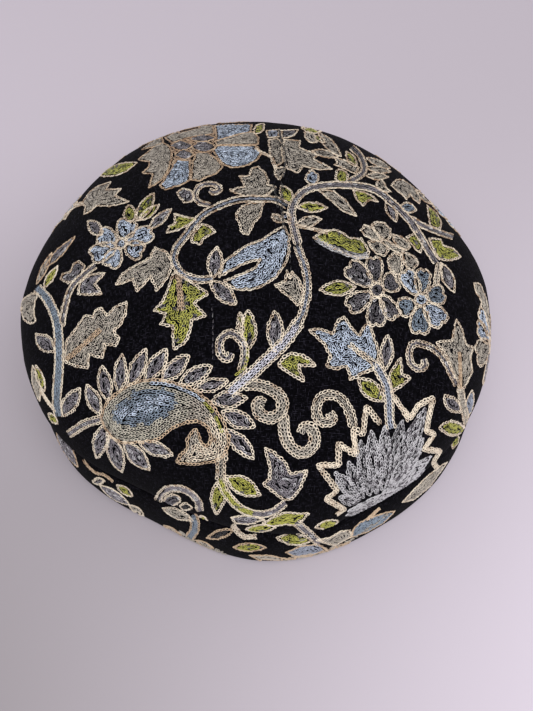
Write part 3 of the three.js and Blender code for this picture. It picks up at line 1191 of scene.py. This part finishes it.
# %% Sew the lobed leaves
LOBED = [
    Lobed("grey", [
        (82, 203), (90, 192), (99, 186), (111, 182), (106, 190), (121, 189), (115, 196), (129, 202),
        (112, 206), (97, 206), (91, 211), (84, 215), (86, 207),
    ]),
    Lobed("grey", [
        (65, 361), (66, 342), (75, 330), (86, 315), (92, 318), (95, 311), (101, 308), (107, 316),
        (115, 307), (127, 302), (125, 315), (121, 325), (113, 331), (119, 338), (116, 346), (105, 344),
        (103, 358), (89, 354), (88, 368), (76, 366),
    ]),
    Lobed("slate", [
        (69, 283), (60, 279), (62, 274), (71, 272), (73, 265), (79, 261), (85, 266), (82, 273), (74, 281),
    ]),
    Lobed("slate", [(78, 294), (80, 283), (89, 275), (105, 273), (95, 284), (102, 294), (90, 295)]),
    Lobed("grey", [
        (172, 266), (167, 252), (155, 248), (150, 258), (143, 262), (130, 269), (122, 275), (116, 285),
        (133, 279), (137, 292), (149, 279), (151, 276), (157, 291), (167, 278),
    ]),
    Lobed("green", [
        (175, 272), (187, 279), (208, 294), (194, 303), (206, 316), (191, 320), (191, 328), (187, 340),
        (174, 350), (173, 338), (173, 326), (161, 325), (166, 314), (154, 311), (164, 300), (169, 285),
    ]),
    Lobed("blue", [
        (219, 277), (224, 262), (245, 246), (262, 240), (275, 231), (284, 226), (289, 236), (289, 252),
        (285, 264), (276, 277), (265, 285), (250, 290), (235, 289), (224, 282), (240, 275), (254, 269),
        (261, 259), (243, 264), (228, 272),
    ]),
    Lobed("grey", [
        (275, 285), (285, 282), (287, 270), (290, 279), (292, 272), (299, 280), (303, 293), (298, 306),
        (289, 297),
    ]),
    Lobed("green", [
        (278, 364), (285, 356), (291, 353), (301, 355), (311, 360), (315, 366), (298, 365), (300, 372),
        (304, 381), (290, 374),
    ]),
    Lobed("blue", [
        (376, 367), (362, 373), (350, 380), (347, 366), (335, 369), (327, 367), (331, 356), (325, 345),
        (309, 330), (320, 329), (333, 334), (336, 325), (344, 316), (350, 326), (359, 336), (363, 328),
        (369, 322), (374, 338), (379, 353),
    ]),
    Lobed("slate", [
        (286, 500), (279, 496), (270, 489), (263, 484), (270, 479), (270, 466), (265, 448), (274, 453),
        (285, 461), (290, 474), (307, 470), (304, 478), (300, 488), (292, 499),
    ]),
    Lobed("grey", [
        (460, 390), (454, 378), (450, 362), (445, 352), (436, 343), (446, 341), (452, 341), (454, 330),
        (456, 319), (462, 330), (466, 345), (473, 347), (470, 358), (472, 371), (465, 386),
    ]),
    Lobed("green", [
        (391, 392), (389, 373), (395, 366), (400, 358), (402, 366), (401, 374), (410, 378), (402, 385),
    ]),
    Lobed("grey", [
        (262, 197), (245, 196), (230, 191), (238, 188), (245, 187), (240, 177), (250, 176), (252, 168),
        (258, 167), (265, 173), (268, 180), (267, 185), (276, 187), (269, 193),
    ]),
    Lobed("grey", [
        (264, 203), (261, 211), (259, 219), (255, 221), (251, 229), (248, 235), (242, 233), (239, 223),
        (236, 215), (240, 208), (250, 203),
    ]),
    Lobed("slate", [(194, 197), (192, 202), (184, 203), (177, 193), (182, 189), (191, 190)]),
    Lobed("grey", [(269, 140), (278, 139), (281, 142), (283, 162), (277, 166), (274, 169), (270, 156)]),
    Lobed("grey", [
        (284, 140), (300, 141), (299, 148), (318, 155), (313, 159), (332, 169), (319, 170), (303, 166),
        (298, 173), (287, 169), (285, 160), (283, 149),
    ]),
    Lobed("grey", [(318, 190), (333, 191), (346, 201), (356, 216), (343, 211), (332, 202)]),
    Lobed("green", [(353, 190), (369, 194), (378, 202), (369, 200), (363, 206), (356, 199)]),
    Lobed("green", [
        (313, 238), (325, 231), (338, 230), (349, 238), (361, 239), (369, 251), (367, 258), (353, 257),
        (337, 250), (324, 243),
    ]),
    Lobed("green", [(427, 206), (436, 213), (441, 222), (440, 230), (430, 226)]),
    Lobed("green", [(418, 230), (423, 242), (420, 253), (414, 248), (407, 238), (413, 234)]),
    Lobed("green", [
        (429, 239), (440, 239), (443, 246), (452, 248), (461, 257), (449, 261), (439, 259), (434, 251),
    ]),
    Lobed("green", [
        (175, 214), (183, 217), (196, 219), (187, 226), (178, 230), (167, 233), (168, 228), (176, 223),
    ]),
    Lobed("green", [
        (202, 224), (208, 226), (216, 232), (208, 236), (204, 238), (200, 245), (191, 241), (194, 233),
    ]),
    Lobed("grey", [
        (333, 157), (343, 160), (350, 162), (359, 168), (355, 174), (347, 170), (334, 165), (338, 162),
    ]),
    Lobed("grey", [
        (39, 294), (35, 302), (34, 315), (36, 321), (30, 324), (24, 319), (21, 309), (23, 300), (31, 294),
    ]),
    Lobed("grey", [(377, 181), (382, 180), (386, 188), (391, 192), (382, 192), (376, 188)]),
    Lobed("grey", [
        (391, 186), (396, 180), (403, 180), (410, 185), (416, 190), (420, 197), (419, 204), (413, 199),
        (410, 194), (406, 200), (402, 195), (397, 191),
    ]),
    Lobed("lavender", [(266, 131), (279, 130), (279, 137), (268, 138)]),
    Lobed("slate", [(281, 131), (298, 130), (294, 136), (282, 139)]),
]
sew_motifs(photo_chart, LOBED)
print(len(LOBED), "lobed leaves and tulips")

# %% [markdown]
# ## The silver leaf
# At the front right a large silver leaf stands on the seam, with a zigzag line on either side of it. It is
# a fan of blades that start close together and part towards their tips, with dark cracks between them. The
# blades have no edge of another colour, and each has its own shade.

# %% Sew the silver leaf
SILVER_BLADES = [
    Leaf("silver", (357, 503), (339, 496), 9),
    Leaf("silver", (360, 501), (335, 472), 12),
    Leaf("silver", (363, 498), (348, 462), 12),
    Leaf("silver", (370, 496), (360, 440), 14),
    Leaf("silver", (377, 494), (371, 430), 14),
    Leaf("silver", (383, 492), (385, 425), 13),
    Leaf("silver", (388, 490), (402, 420), 15),
    Leaf("silver", (391, 490), (425, 408), 17),
    Leaf("silver", (388, 494), (423, 438), 15),
    Leaf("silver", (381, 498), (431, 456), 14),
    Leaf("silver", (380, 496), (424, 470), 10),
    Leaf("silver", (348, 511), (413, 486), 8),
    Leaf("silver", (346, 515), (408, 491), 9),
]
ZIGZAGS = [
    [
        (380, 424), (366, 406), (363, 434), (353, 429), (356, 455), (338, 443), (339, 465), (318, 465),
        (337, 490), (326, 499), (344, 509), (337, 514),
    ],
    [
        (393, 396), (410, 419), (418, 405), (433, 398), (428, 420), (426, 431), (434, 434), (424, 449),
        (440, 451), (433, 462), (437, 468),
    ],
]
ZIGZAG_OFFSET = 1.5
ZIGZAG_WIDTH = 0.95
BLADE_TINT_SPREAD = 0.2


def sew_zigzag(chart, corners):
    """Two cream rows that turn sharply at each corner, and one between them where there is room."""
    path = evenly(np.array(corners, float), 1)
    aside = sideways(path)
    for side in (-1, 1, 0):
        places = chart.place(path + aside * side * ZIGZAG_OFFSET)
        tint = rng.normal(MIDDLE_TINT, STEM_TINT_SPREAD)
        stem_rows.append(Row(places, "cream", ZIGZAG_WIDTH, None, tint))


for blade in SILVER_BLADES:
    corners = leaf_outline(blade.base, blade.tip, blade.width)
    sew_shape(photo_chart, corners, blade.fill, edge="silver", tint_spread=BLADE_TINT_SPREAD)
for zigzag in ZIGZAGS:
    sew_zigzag(photo_chart, zigzag)
print("silver leaf with", len(SILVER_BLADES), "blades")

# %% [markdown]
# ## Below the seam
# The front of the band shows as a narrow strip, and the motifs on it are partly turned under. They are
# charted in the same way, from what can be seen of them. Those at the rim have a beige edge.

# %% Sew the front of the band
BAND_FRONT = [
    Stem("cream", "slate", 7, [
        (158, 501), (161, 494), (166, 490), (174, 488), (182, 489), (189, 492), (195, 497), (199, 503),
        (200, 510),
    ]),
    Lobed("coal", [(163, 501), (167, 496), (174, 494), (180, 497), (180, 502), (173, 505), (166, 505)]),
    Leaf("black", (180, 506), (192, 507), 7),
    Leaf("grey", (163, 508), (193, 520), 9),
    Stem("cream", "cream", 5, [(233, 524), (238, 532), (246, 537), (256, 536)]),
    Lobed("slate", [(231, 517), (247, 515), (264, 519), (250, 524), (236, 523)]),
    Stem("cream", "slate", 8, [(296, 522), (304, 529), (312, 536), (319, 543)]),
    Leaf("green", (198, 518), (207, 519), 6),
    Leaf("green", (277, 538), (312, 540), 11),
    Leaf("green", (316, 527), (338, 521), 8),
    Leaf("green", (246, 529), (276, 527), 7),
    Leaf("green", (458, 436), (452, 448), 5),
    Leaf("green", (117, 485), (133, 496), 7),
    Leaf("slate", (100, 485), (130, 505), 8),
    Leaf("grey", (130, 505), (144, 515), 6),
    Leaf("slate", (93, 482), (105, 480), 6),
    Lobed("green", [
        (263, 523), (272, 518), (284, 512), (296, 513), (309, 513), (303, 519), (299, 525), (285, 524),
        (272, 526),
    ]),
    Lobed("grey", [(316, 540), (331, 537), (340, 531), (349, 530), (352, 536), (335, 545)]),
    Lobed("grey", [(402, 502), (413, 490), (425, 478), (440, 466), (447, 462), (430, 486), (414, 499)]),
]
RIM_FRONT = [
    Stem("beige", "steel", 9, [(193, 515), (195, 522), (195, 529), (190, 537)]),
    Stem("beige", "beige", 2.5, [(84, 460), (90, 468), (97, 473), (105, 475), (113, 481)]),
    Stem("beige", "beige", 3, [(366, 520), (373, 514), (379, 508)]),
    Leaf("slate", (56, 428), (78, 467), 9),
    Leaf("black", (233, 530), (207, 538), 8),
    Leaf("green", (234, 547), (266, 547), 8),
    Leaf("grey", (164, 525), (181, 535), 4),
    Leaf("grey", (196, 540), (214, 548), 4),
    Lobed("lavender", [(286, 552), (300, 546), (318, 544), (326, 549), (310, 555), (295, 556)]),
    Lobed("grey", [
        (250, 555), (270, 555), (292, 560), (318, 557), (333, 551), (350, 541), (346, 548), (326, 558),
        (296, 563), (262, 561),
    ]),
    Lobed("steel", [
        (351, 537), (353, 529), (360, 522), (372, 517), (386, 512), (395, 511), (384, 522), (368, 531),
    ]),
]
sew_motifs(photo_chart, BAND_FRONT)
sew_motifs(photo_chart, RIM_FRONT, edge="beige")
print(len(BAND_FRONT) + len(RIM_FRONT), "motifs on the front of the band")

# %% [markdown]
# ## Sprigs on the far side
# The photograph shows nothing of the back. Such caps are worked all round, so small sprigs of the same
# kinds go there, charted in millimetres on flat patches: a flower between leaves, and a tulip on a curling
# stem. Two flowers that the photograph shows in part are finished here, one on the right side and one
# behind the top.

# %% Sew the sprigs
FLOWER_SPRIG = [
    Stem("cream", "lavender", 3.2, [(-9, -19), (-4, -12), (-1, -5), (0, 2)]),
    Stem("cream", "slate", 2.8, [(-4, -12), (3, -13), (9, -10), (11, -4), (7, -1), (5, -5)]),
    Flower("blue", "beige", (0, 9), 2, [
        ((0, 18.5), 6.5), ((8.5, 13.5), 6.5), ((8.5, 5), 6.5), ((0, 0), 6), ((-8.5, 5), 6.5),
        ((-8.5, 13.5), 6.5),
    ]),
    Leaf("green", (-4, -10), (-14, -3), 5),
    Leaf("slate", (-8, -17), (-18, -14), 5),
    Leaf("slate", (2, -14), (10, -19), 5),
]
TULIP_SPRIG = [
    Stem("cream", "slate", 3.2, [(8, -19), (4, -12), (1, -5), (0, 2)]),
    Lobed("slate", [
        (0, 1), (5, 4), (7, 9), (11, 14), (4, 13), (0, 19), (-4, 13), (-11, 14), (-7, 9), (-5, 4),
    ]),
    Leaf("green", (4, -12), (15, -7), 5.5),
    Leaf("grey", (3, -9), (-8, -5), 5.5),
    Leaf("grey", (6, -16), (-5, -18), 5),
]
BAND_SPRIG = [
    Stem("cream", "lavender", 2.8, [(-20, -3), (-12, 3), (-4, 2), (4, -3), (12, -2), (19, 4)]),
    Flower("blue", "beige", (-3, 0), 1.6, [
        ((-3, 8), 5), ((4.5, 3), 5), ((2.5, -6), 5), ((-7, -7), 5), ((-10.5, 2), 5),
    ]),
    Leaf("green", (9, -2), (16, -9), 5),
    Leaf("slate", (6, -1), (11, 8), 5),
    Leaf("grey", (-13, 3), (-18, 9), 5),
    Leaf("slate", (-14, 0), (-17, -9), 5),
]
RIGHT_FLOWER = [
    Flower("beige", "beige", (0, 0), 2.4, []),
    Petal("blue", (-1, 3), (-3.5, 16), 7),
    Petal("blue", (1, 3), (4, 16), 7),
    Lobed("grey", [(3, 2), (4, 9), (7, 10), (7, 14), (10, 14), (11, 18), (15, 19), (18, 14), (14, 7)]),
    Petal("grey", (-2.5, 1.5), (-14, 12), 10),
    Petal("slate", (3, -1), (15, -6), 9),
    Petal("slate", (-3, -1), (-15, -6), 9),
    Petal("blue", (1, -3), (5, -14), 8),
    Petal("blue", (-1, -3), (-5, -14), 8),
]
RIGHT_FLOWER_PLACE = (346, 53)
FLOWER_BEHIND = [
    Petal("grey", (2, 13), (3, -8), 16),
    Petal("blue", (-9, 13), (-19, -3), 14),
    Petal("blue", (14, 13), (24, -3), 14),
]
FLOWER_BEHIND_PLACE = (104, 66)
Sprig = namedtuple("Sprig", "azimuth height motifs")
CROWN_SPRIGS = [
    Sprig(22, 56, FLOWER_SPRIG),
    Sprig(48, 54, TULIP_SPRIG),
    Sprig(77, 52, FLOWER_SPRIG),
    Sprig(128, 50, TULIP_SPRIG),
    Sprig(152, 56, FLOWER_SPRIG),
]
BAND_AZIMUTHS = [352, 19, 46, 73, 100, 127, 154, 181]
BAND_MIDDLE = 16
for sprig in CROWN_SPRIGS:
    sew_motifs(patch_chart(sprig.azimuth, sprig.height), sprig.motifs)
for azimuth_deg in BAND_AZIMUTHS:
    sew_motifs(patch_chart(azimuth_deg, BAND_MIDDLE), BAND_SPRIG)
sew_motifs(patch_chart(*RIGHT_FLOWER_PLACE), RIGHT_FLOWER)
sew_motifs(patch_chart(*FLOWER_BEHIND_PLACE), FLOWER_BEHIND, edge="beige")
print(len(CROWN_SPRIGS), "sprigs on the crown,", len(BAND_AZIMUTHS), "on the band")

# %% [markdown]
# ## The dart
# Behind the top of the crown the cloth is taken in by a long dart, sewn after the embroidery was done. Its
# black stitches cross the motifs, first in one line and then in two, and further on a few pale ones show
# where it runs out. One more pale line of tacking is left on the bare cloth, left of the middle.

# %% Sew the dart
DART_PITCH = 2.4 * MM
DART_RISE = 0.4 * MM
DART_LINES = [
    [(279, 131), (281, 141), (284, 153), (285, 165), (283, 178)],
    [(274, 186), (276, 196), (278, 208)],
    [(282, 184), (282, 198), (282, 214), (284, 230)],
]
PALE_LINES = [
    [(287, 236), (289, 250), (290, 262), (291, 273)],
    [(212, 308), (213, 325), (213, 362)],
]
DASH = 3
DART_WIDTH = 0.8
DART_TINT = 0.2
DASH_WIDTH = 0.2
DASH_TINT = 0.4
dart_rows = []
for line in DART_LINES:
    dart_rows.append(Row(photo_chart.place(smooth(line)), "black", DART_WIDTH, None, DART_TINT))
for line in PALE_LINES:
    marks = photo_chart.place(evenly(smooth(line), DASH))
    for ends in zip(marks[::2], marks[1::2]):
        dart_rows.append(Row(np.stack(ends), "slate", DASH_WIDTH, None, DASH_TINT))
print(len(dart_rows), "lines of dart stitches")

# %% [markdown]
# ## Laying the stitches
# The rows are now divided into stitches, stems first, then outlines, then fills. A stitch is left out where
# one already lies, so that rows end where they meet, and where it would cross from one cloth piece to the
# other. Each stitch is a place, a direction and a normal. The front of the cap is worked a little bolder
# than the back. Its tint carries painted light and shade: painted paler at the front, darker at the back and
# a little darker on the right side. Some seeded chance in length, width and turn keeps the work looking
# sewn by hand, and fills are the loosest. A few stitches of another thread are mixed in: silver ones in dark
# fills are painted glints, and dark ones in silver and green fills show like bare cloth.

# %% Lay the stitches
PITCH = 1.5 * MM
FILL_PITCH = 1.45 * MM
SHORTEST_ROW = 0.8 * MM
TINT_SPREAD = 0.25
FRONT_TO_BACK = [-70 * MM, 60 * MM]
# Painted light: tint added at the front of the cap and taken off at the back.
FRONT_PAINTED_LIGHT = [0.2, -0.34]
MIDDLE_TO_RIGHT = [45 * MM, 90 * MM]
# Painted shade: tint taken off towards the right side.
RIGHT_PAINTED_SHADE = [0, -0.22]
BOLDER = [0.5, -0.5]
Speck = namedtuple("Speck", "thread share")
# Silver stitches in slate and coal fills are painted glints; coal stitches in silver and green fills show
# like bare cloth.
GLINTS_AND_SPECKS = {
    "slate": Speck("silver", 0.18),
    "coal": Speck("silver", 0.12),
    "silver": Speck("coal", 0.16),
    "green": Speck("coal", 0.08),
}
CELL = 1 * MM
SEAT = 0.13 * MM
Layer = namedtuple("Layer", "rows pitch clearance seat loose bold")
Stitch = namedtuple("Stitch", "place along normal length width tint seat loose")
stitches = {}
taken = {}


def is_free(place, clearance):
    """Whether no stitch lies near a place. If so, the place is taken from now on."""
    cell = tuple(int(math.floor(value / CELL)) for value in place)
    for dx in (-1, 0, 1):
        for dy in (-1, 0, 1):
            for dz in (-1, 0, 1):
                for other in taken.get((cell[0] + dx, cell[1] + dy, cell[2] + dz), []):
                    if (other - place).length < clearance:
                        return False
    taken.setdefault(cell, []).append(place)
    return True


def lay_row(row, layer):
    """Chain stitches along one row of points on the cloth."""
    length = np.linalg.norm(np.diff(row.points, axis=0), axis=1).sum()
    if length < SHORTEST_ROW:
        return
    ends = evenly(row.points, length / max(1, round(length / layer.pitch)))
    for start, end in zip(ends, ends[1:]):
        place, normal, face, _ = surface.find_nearest(Vector((start + end) / 2))
        home = face_homes[face]
        if row.home not in (None, home) or not is_free(place, layer.clearance):
            continue
        thread = row.thread(place) if callable(row.thread) else row.thread
        # Some stitches change thread: silver in dark fills as painted glints, coal elsewhere as bare cloth.
        if thread in GLINTS_AND_SPECKS and rng.random() < GLINTS_AND_SPECKS[thread].share:
            thread = GLINTS_AND_SPECKS[thread].thread
        # Painted light and shade in the tint: paler at the front, darker at the back and on the right.
        painted_light = np.interp(place.y, FRONT_TO_BACK, FRONT_PAINTED_LIGHT) + np.interp(place.x, MIDDLE_TO_RIGHT, RIGHT_PAINTED_SHADE)
        tint = rng.normal(row.tint + painted_light, TINT_SPREAD)
        width = row.width * (1 + layer.bold * np.interp(place.y, FRONT_TO_BACK, BOLDER))
        span = Vector(end - start)
        stitch = Stitch(place, span, normal, span.length, width, tint, layer.seat, layer.loose)
        stitches.setdefault((home, thread), []).append(stitch)


layers = [
    Layer(stem_rows, PITCH, 0.6 * MM, SEAT, 1, 0.3),
    Layer(outline_rows, PITCH, 0.42 * MM, SEAT, 1.3, 0.4),
    Layer(neat_rows, FILL_PITCH, 0.82 * MM, SEAT, 1, 0),
    Layer(fill_rows, FILL_PITCH, 0.86 * MM, SEAT, 2.4, 0),
    Layer(gap_rows, FILL_PITCH, 0.96 * MM, SEAT, 2.4, 0),
    Layer(dense_rows, FILL_PITCH, 0.66 * MM, SEAT, 2.4, 0),
    Layer(ground_rows, FILL_PITCH, 0.95 * MM, SEAT, 1, 0),
    Layer(dart_rows, DART_PITCH, 0, SEAT + DART_RISE, 1, 0),
]
for layer in layers:
    for row in layer.rows:
        lay_row(row, layer)
stitch_count = sum(len(group) for group in stitches.values())
print(stitch_count, "stitches,", stitch_count * len(loop_faces) * 2, "triangles")

# %% [markdown]
# ## From stitches to meshes
# Thousands of separate objects would be slow to draw and to export. So the loop's points are copied for
# each stitch, turned to its direction and its normal, and the stitches of one thread on one cloth piece are
# joined into one mesh. Each point also gets its tint. A mesh holds only so many stitches, which keeps every
# piece to a fair size.

# %% Join the stitches into pieces
MOST_STITCHES = 3000
TURN_SPREAD = 0.14
LENGTH_SPREAD = 0.09
WIDTH_SPREAD = 0.14
SEAT_SPREAD = 0.03 * MM
ASTRAY_SPREAD = 0.08 * MM


def stitch_mesh(name, group):
    """One joined mesh of loops for a group of stitches of one thread."""
    count = len(group)
    normals = np.array([stitch.normal[:] for stitch in group])
    along = np.array([stitch.along[:] for stitch in group])
    along -= normals * np.sum(along * normals, axis=1, keepdims=True)
    along /= np.linalg.norm(along, axis=1, keepdims=True)
    across = np.cross(normals, along)
    loose = np.array([stitch.loose for stitch in group])
    turn = (rng.normal(0, TURN_SPREAD, count) * loose)[:, None]
    cosine = np.cos(turn)
    sine = np.sin(turn)
    along, across = along * cosine + across * sine, across * cosine - along * sine
    lengths = np.array([stitch.length for stitch in group]) / PITCH * rng.normal(1, LENGTH_SPREAD, count)
    widths = np.array([stitch.width for stitch in group]) * rng.normal(1, WIDTH_SPREAD, count)
    seats = np.array([stitch.seat for stitch in group]) + rng.normal(0, SEAT_SPREAD, count)
    astray = (rng.normal(0, ASTRAY_SPREAD, count) * loose)[:, None]
    places = np.array([stitch.place[:] for stitch in group]) + normals * seats[:, None] + across * astray
    points = (
        places[:, None]
        + along[:, None] * (loop_points[None, :, :1] * lengths[:, None, None])
        + across[:, None] * (loop_points[None, :, 1:2] * widths[:, None, None])
        + normals[:, None] * loop_points[None, :, 2:]
    ).reshape(-1, 3)
    faces = (loop_faces[None] + np.arange(count)[:, None, None] * len(loop_points)).reshape(-1, 4)
    mesh = bpy.data.meshes.new(name)
    mesh.from_pydata(points, [], faces, shade_flat=False)
    layer = mesh.uv_layers.new(name="along_thread")
    layer.data.foreach_set("uv", np.tile(loop_map, (count, 1)).astype(np.float32).ravel())
    # Each point's tint also carries the painted light on top of the thread and the painted shade beneath.
    tints = np.array([stitch.tint for stitch in group])[:, None] + loop_painted_light
    attribute = mesh.attributes.new("tint", "FLOAT", "POINT")
    attribute.data.foreach_set("value", tints.clip(0, 1).astype(np.float32).ravel())
    return mesh


for (home, thread), group in sorted(stitches.items()):
    for part, first in enumerate(range(0, len(group), MOST_STITCHES), 1):
        name = f"{home}_stitches_{thread}_{part}"
        piece = bpy.data.objects.new(name, stitch_mesh(name, group[first:first + MOST_STITCHES]))
        bpy.context.scene.collection.objects.link(piece)
        piece.data.materials.append(flosses[thread])
        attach(piece, "root")
        print(f"{name}: {len(piece.data.polygons)} faces")

# %% [markdown]
# ## The table
# The cap stands on a pale lavender-grey table with painted light. It is painted palest at the front right:
# a ramp from left to right that grows towards the front and fades out away from the cap. The table also
# glows faintly, a painted light which keeps the shadow under the rim as weak as it is in the photograph.

# %% Add the table
TABLE_SIZE = 3
# Painted light: the table glows at this strength to weaken the shadow under the rim.
TABLE_PAINTED_GLOW = 0.45
# The painted-light ramp of the table: its slope to the right, towards the front, and its floor at the left
# behind.
TABLE_PAINTED_LIGHT_RIGHT = 2
TABLE_PAINTED_LIGHT_FORWARD = -21
TABLE_PAINTED_LIGHT_LEFT_BEHIND = -0.6
RAMP_MIDDLE = 0.02
RAMP_REACH = 0.6
RAMP_BLEND = 2
RAMP_LEVEL = 0.55
TABLE_STOPS = [Stop(0, (112, 107, 109)), Stop(1, (176, 168, 178))]
TABLE_LOOK = {"Roughness": 0.7, "Emission Strength": TABLE_PAINTED_GLOW}
visual_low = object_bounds()[0]
bpy.ops.object.select_all(action="DESELECT")
bpy.ops.mesh.primitive_plane_add(size=TABLE_SIZE, location=(0, 0, visual_low[2]))
table = bpy.context.object
table.name = "table"
bpy.ops.object.transform_apply(location=True)


def pale_table_painted_light():
    """Matt pale paper with painted light: palest at the front right, and a faint glow that lightens shadows.
    """
    material = bpy.data.materials.new("pale_table_painted_light")
    add, join = node_maker(material)
    place = add("ShaderNodeTexCoord")
    axes = add("ShaderNodeSeparateXYZ")
    from_middle = add("ShaderNodeMath", {1: RAMP_MIDDLE}, operation="SUBTRACT")
    forward = add("ShaderNodeMath", {1: TABLE_PAINTED_LIGHT_FORWARD, 2: TABLE_PAINTED_LIGHT_RIGHT}, operation="MULTIPLY_ADD")
    slope = add("ShaderNodeMath", {1: TABLE_PAINTED_LIGHT_LEFT_BEHIND, 2: RAMP_BLEND}, operation="SMOOTH_MAX")
    shrink = add("ShaderNodeMapping", {"Scale": [1 / RAMP_REACH] * 3})
    nearness = add("ShaderNodeTexGradient", gradient_type="SPHERICAL")
    aside = add("ShaderNodeMath", operation="MULTIPLY")
    share = add("ShaderNodeMath", {2: RAMP_LEVEL}, operation="MULTIPLY_ADD")
    colour = add("ShaderNodeValToRGB")
    set_stops(colour, TABLE_STOPS)
    shader = add("ShaderNodeBsdfPrincipled", TABLE_LOOK)
    output = add("ShaderNodeOutputMaterial")
    join(place.outputs["Object"], axes.inputs["Vector"])
    join(axes.outputs["Y"], forward.inputs[0])
    join(place.outputs["Object"], shrink.inputs["Vector"])
    join(shrink.outputs["Vector"], nearness.inputs["Vector"])
    join(axes.outputs["X"], from_middle.inputs[0])
    join(from_middle.outputs["Value"], aside.inputs[0])
    join(nearness.outputs["Fac"], aside.inputs[1])
    join(aside.outputs["Value"], share.inputs[0])
    join(forward.outputs["Value"], slope.inputs[0])
    join(slope.outputs["Value"], share.inputs[1])
    join(share.outputs["Value"], colour.inputs["Fac"])
    join(colour.outputs["Color"], shader.inputs["Base Color"])
    # The painted glow: the table emits its own colour.
    join(colour.outputs["Color"], shader.inputs["Emission Color"])
    join(shader.outputs["BSDF"], output.inputs["Surface"])
    return material


table.data.materials.append(pale_table_painted_light())
print("table at", round(visual_low[2] / MM, 2), "mm")

# %% [markdown]
# ## The light
# The light in the photograph is soft, with no hard shadow. One large area light at the front right gives
# the stitches their relief, and a pale room all round fills the rest.

# %% Add the light
LIGHT_PLACE = Vector((0.15, -0.65, 1.1))
LIGHT_SIZE = 0.9
LIGHT_POWER = 13
ROOM_COLOUR = (244, 241, 246)
ROOM_STRENGTH = 0.9
bpy.ops.object.light_add(type="AREA", location=LIGHT_PLACE)
window = bpy.context.object
window.name = "soft_light"
window.data.size = LIGHT_SIZE
window.data.energy = LIGHT_POWER
window.rotation_euler = (-LIGHT_PLACE).to_track_quat("-Z", "Y").to_euler()
world = bpy.data.worlds.new("soft_room")
world.use_nodes = True
background = world.node_tree.nodes["Background"]
background.inputs["Color"].default_value = linear(ROOM_COLOUR)
background.inputs["Strength"].default_value = ROOM_STRENGTH
bpy.context.scene.world = world
bpy.context.scene.view_settings.view_transform = "Standard"
print("light of", LIGHT_POWER, "watts in a room of strength", ROOM_STRENGTH)
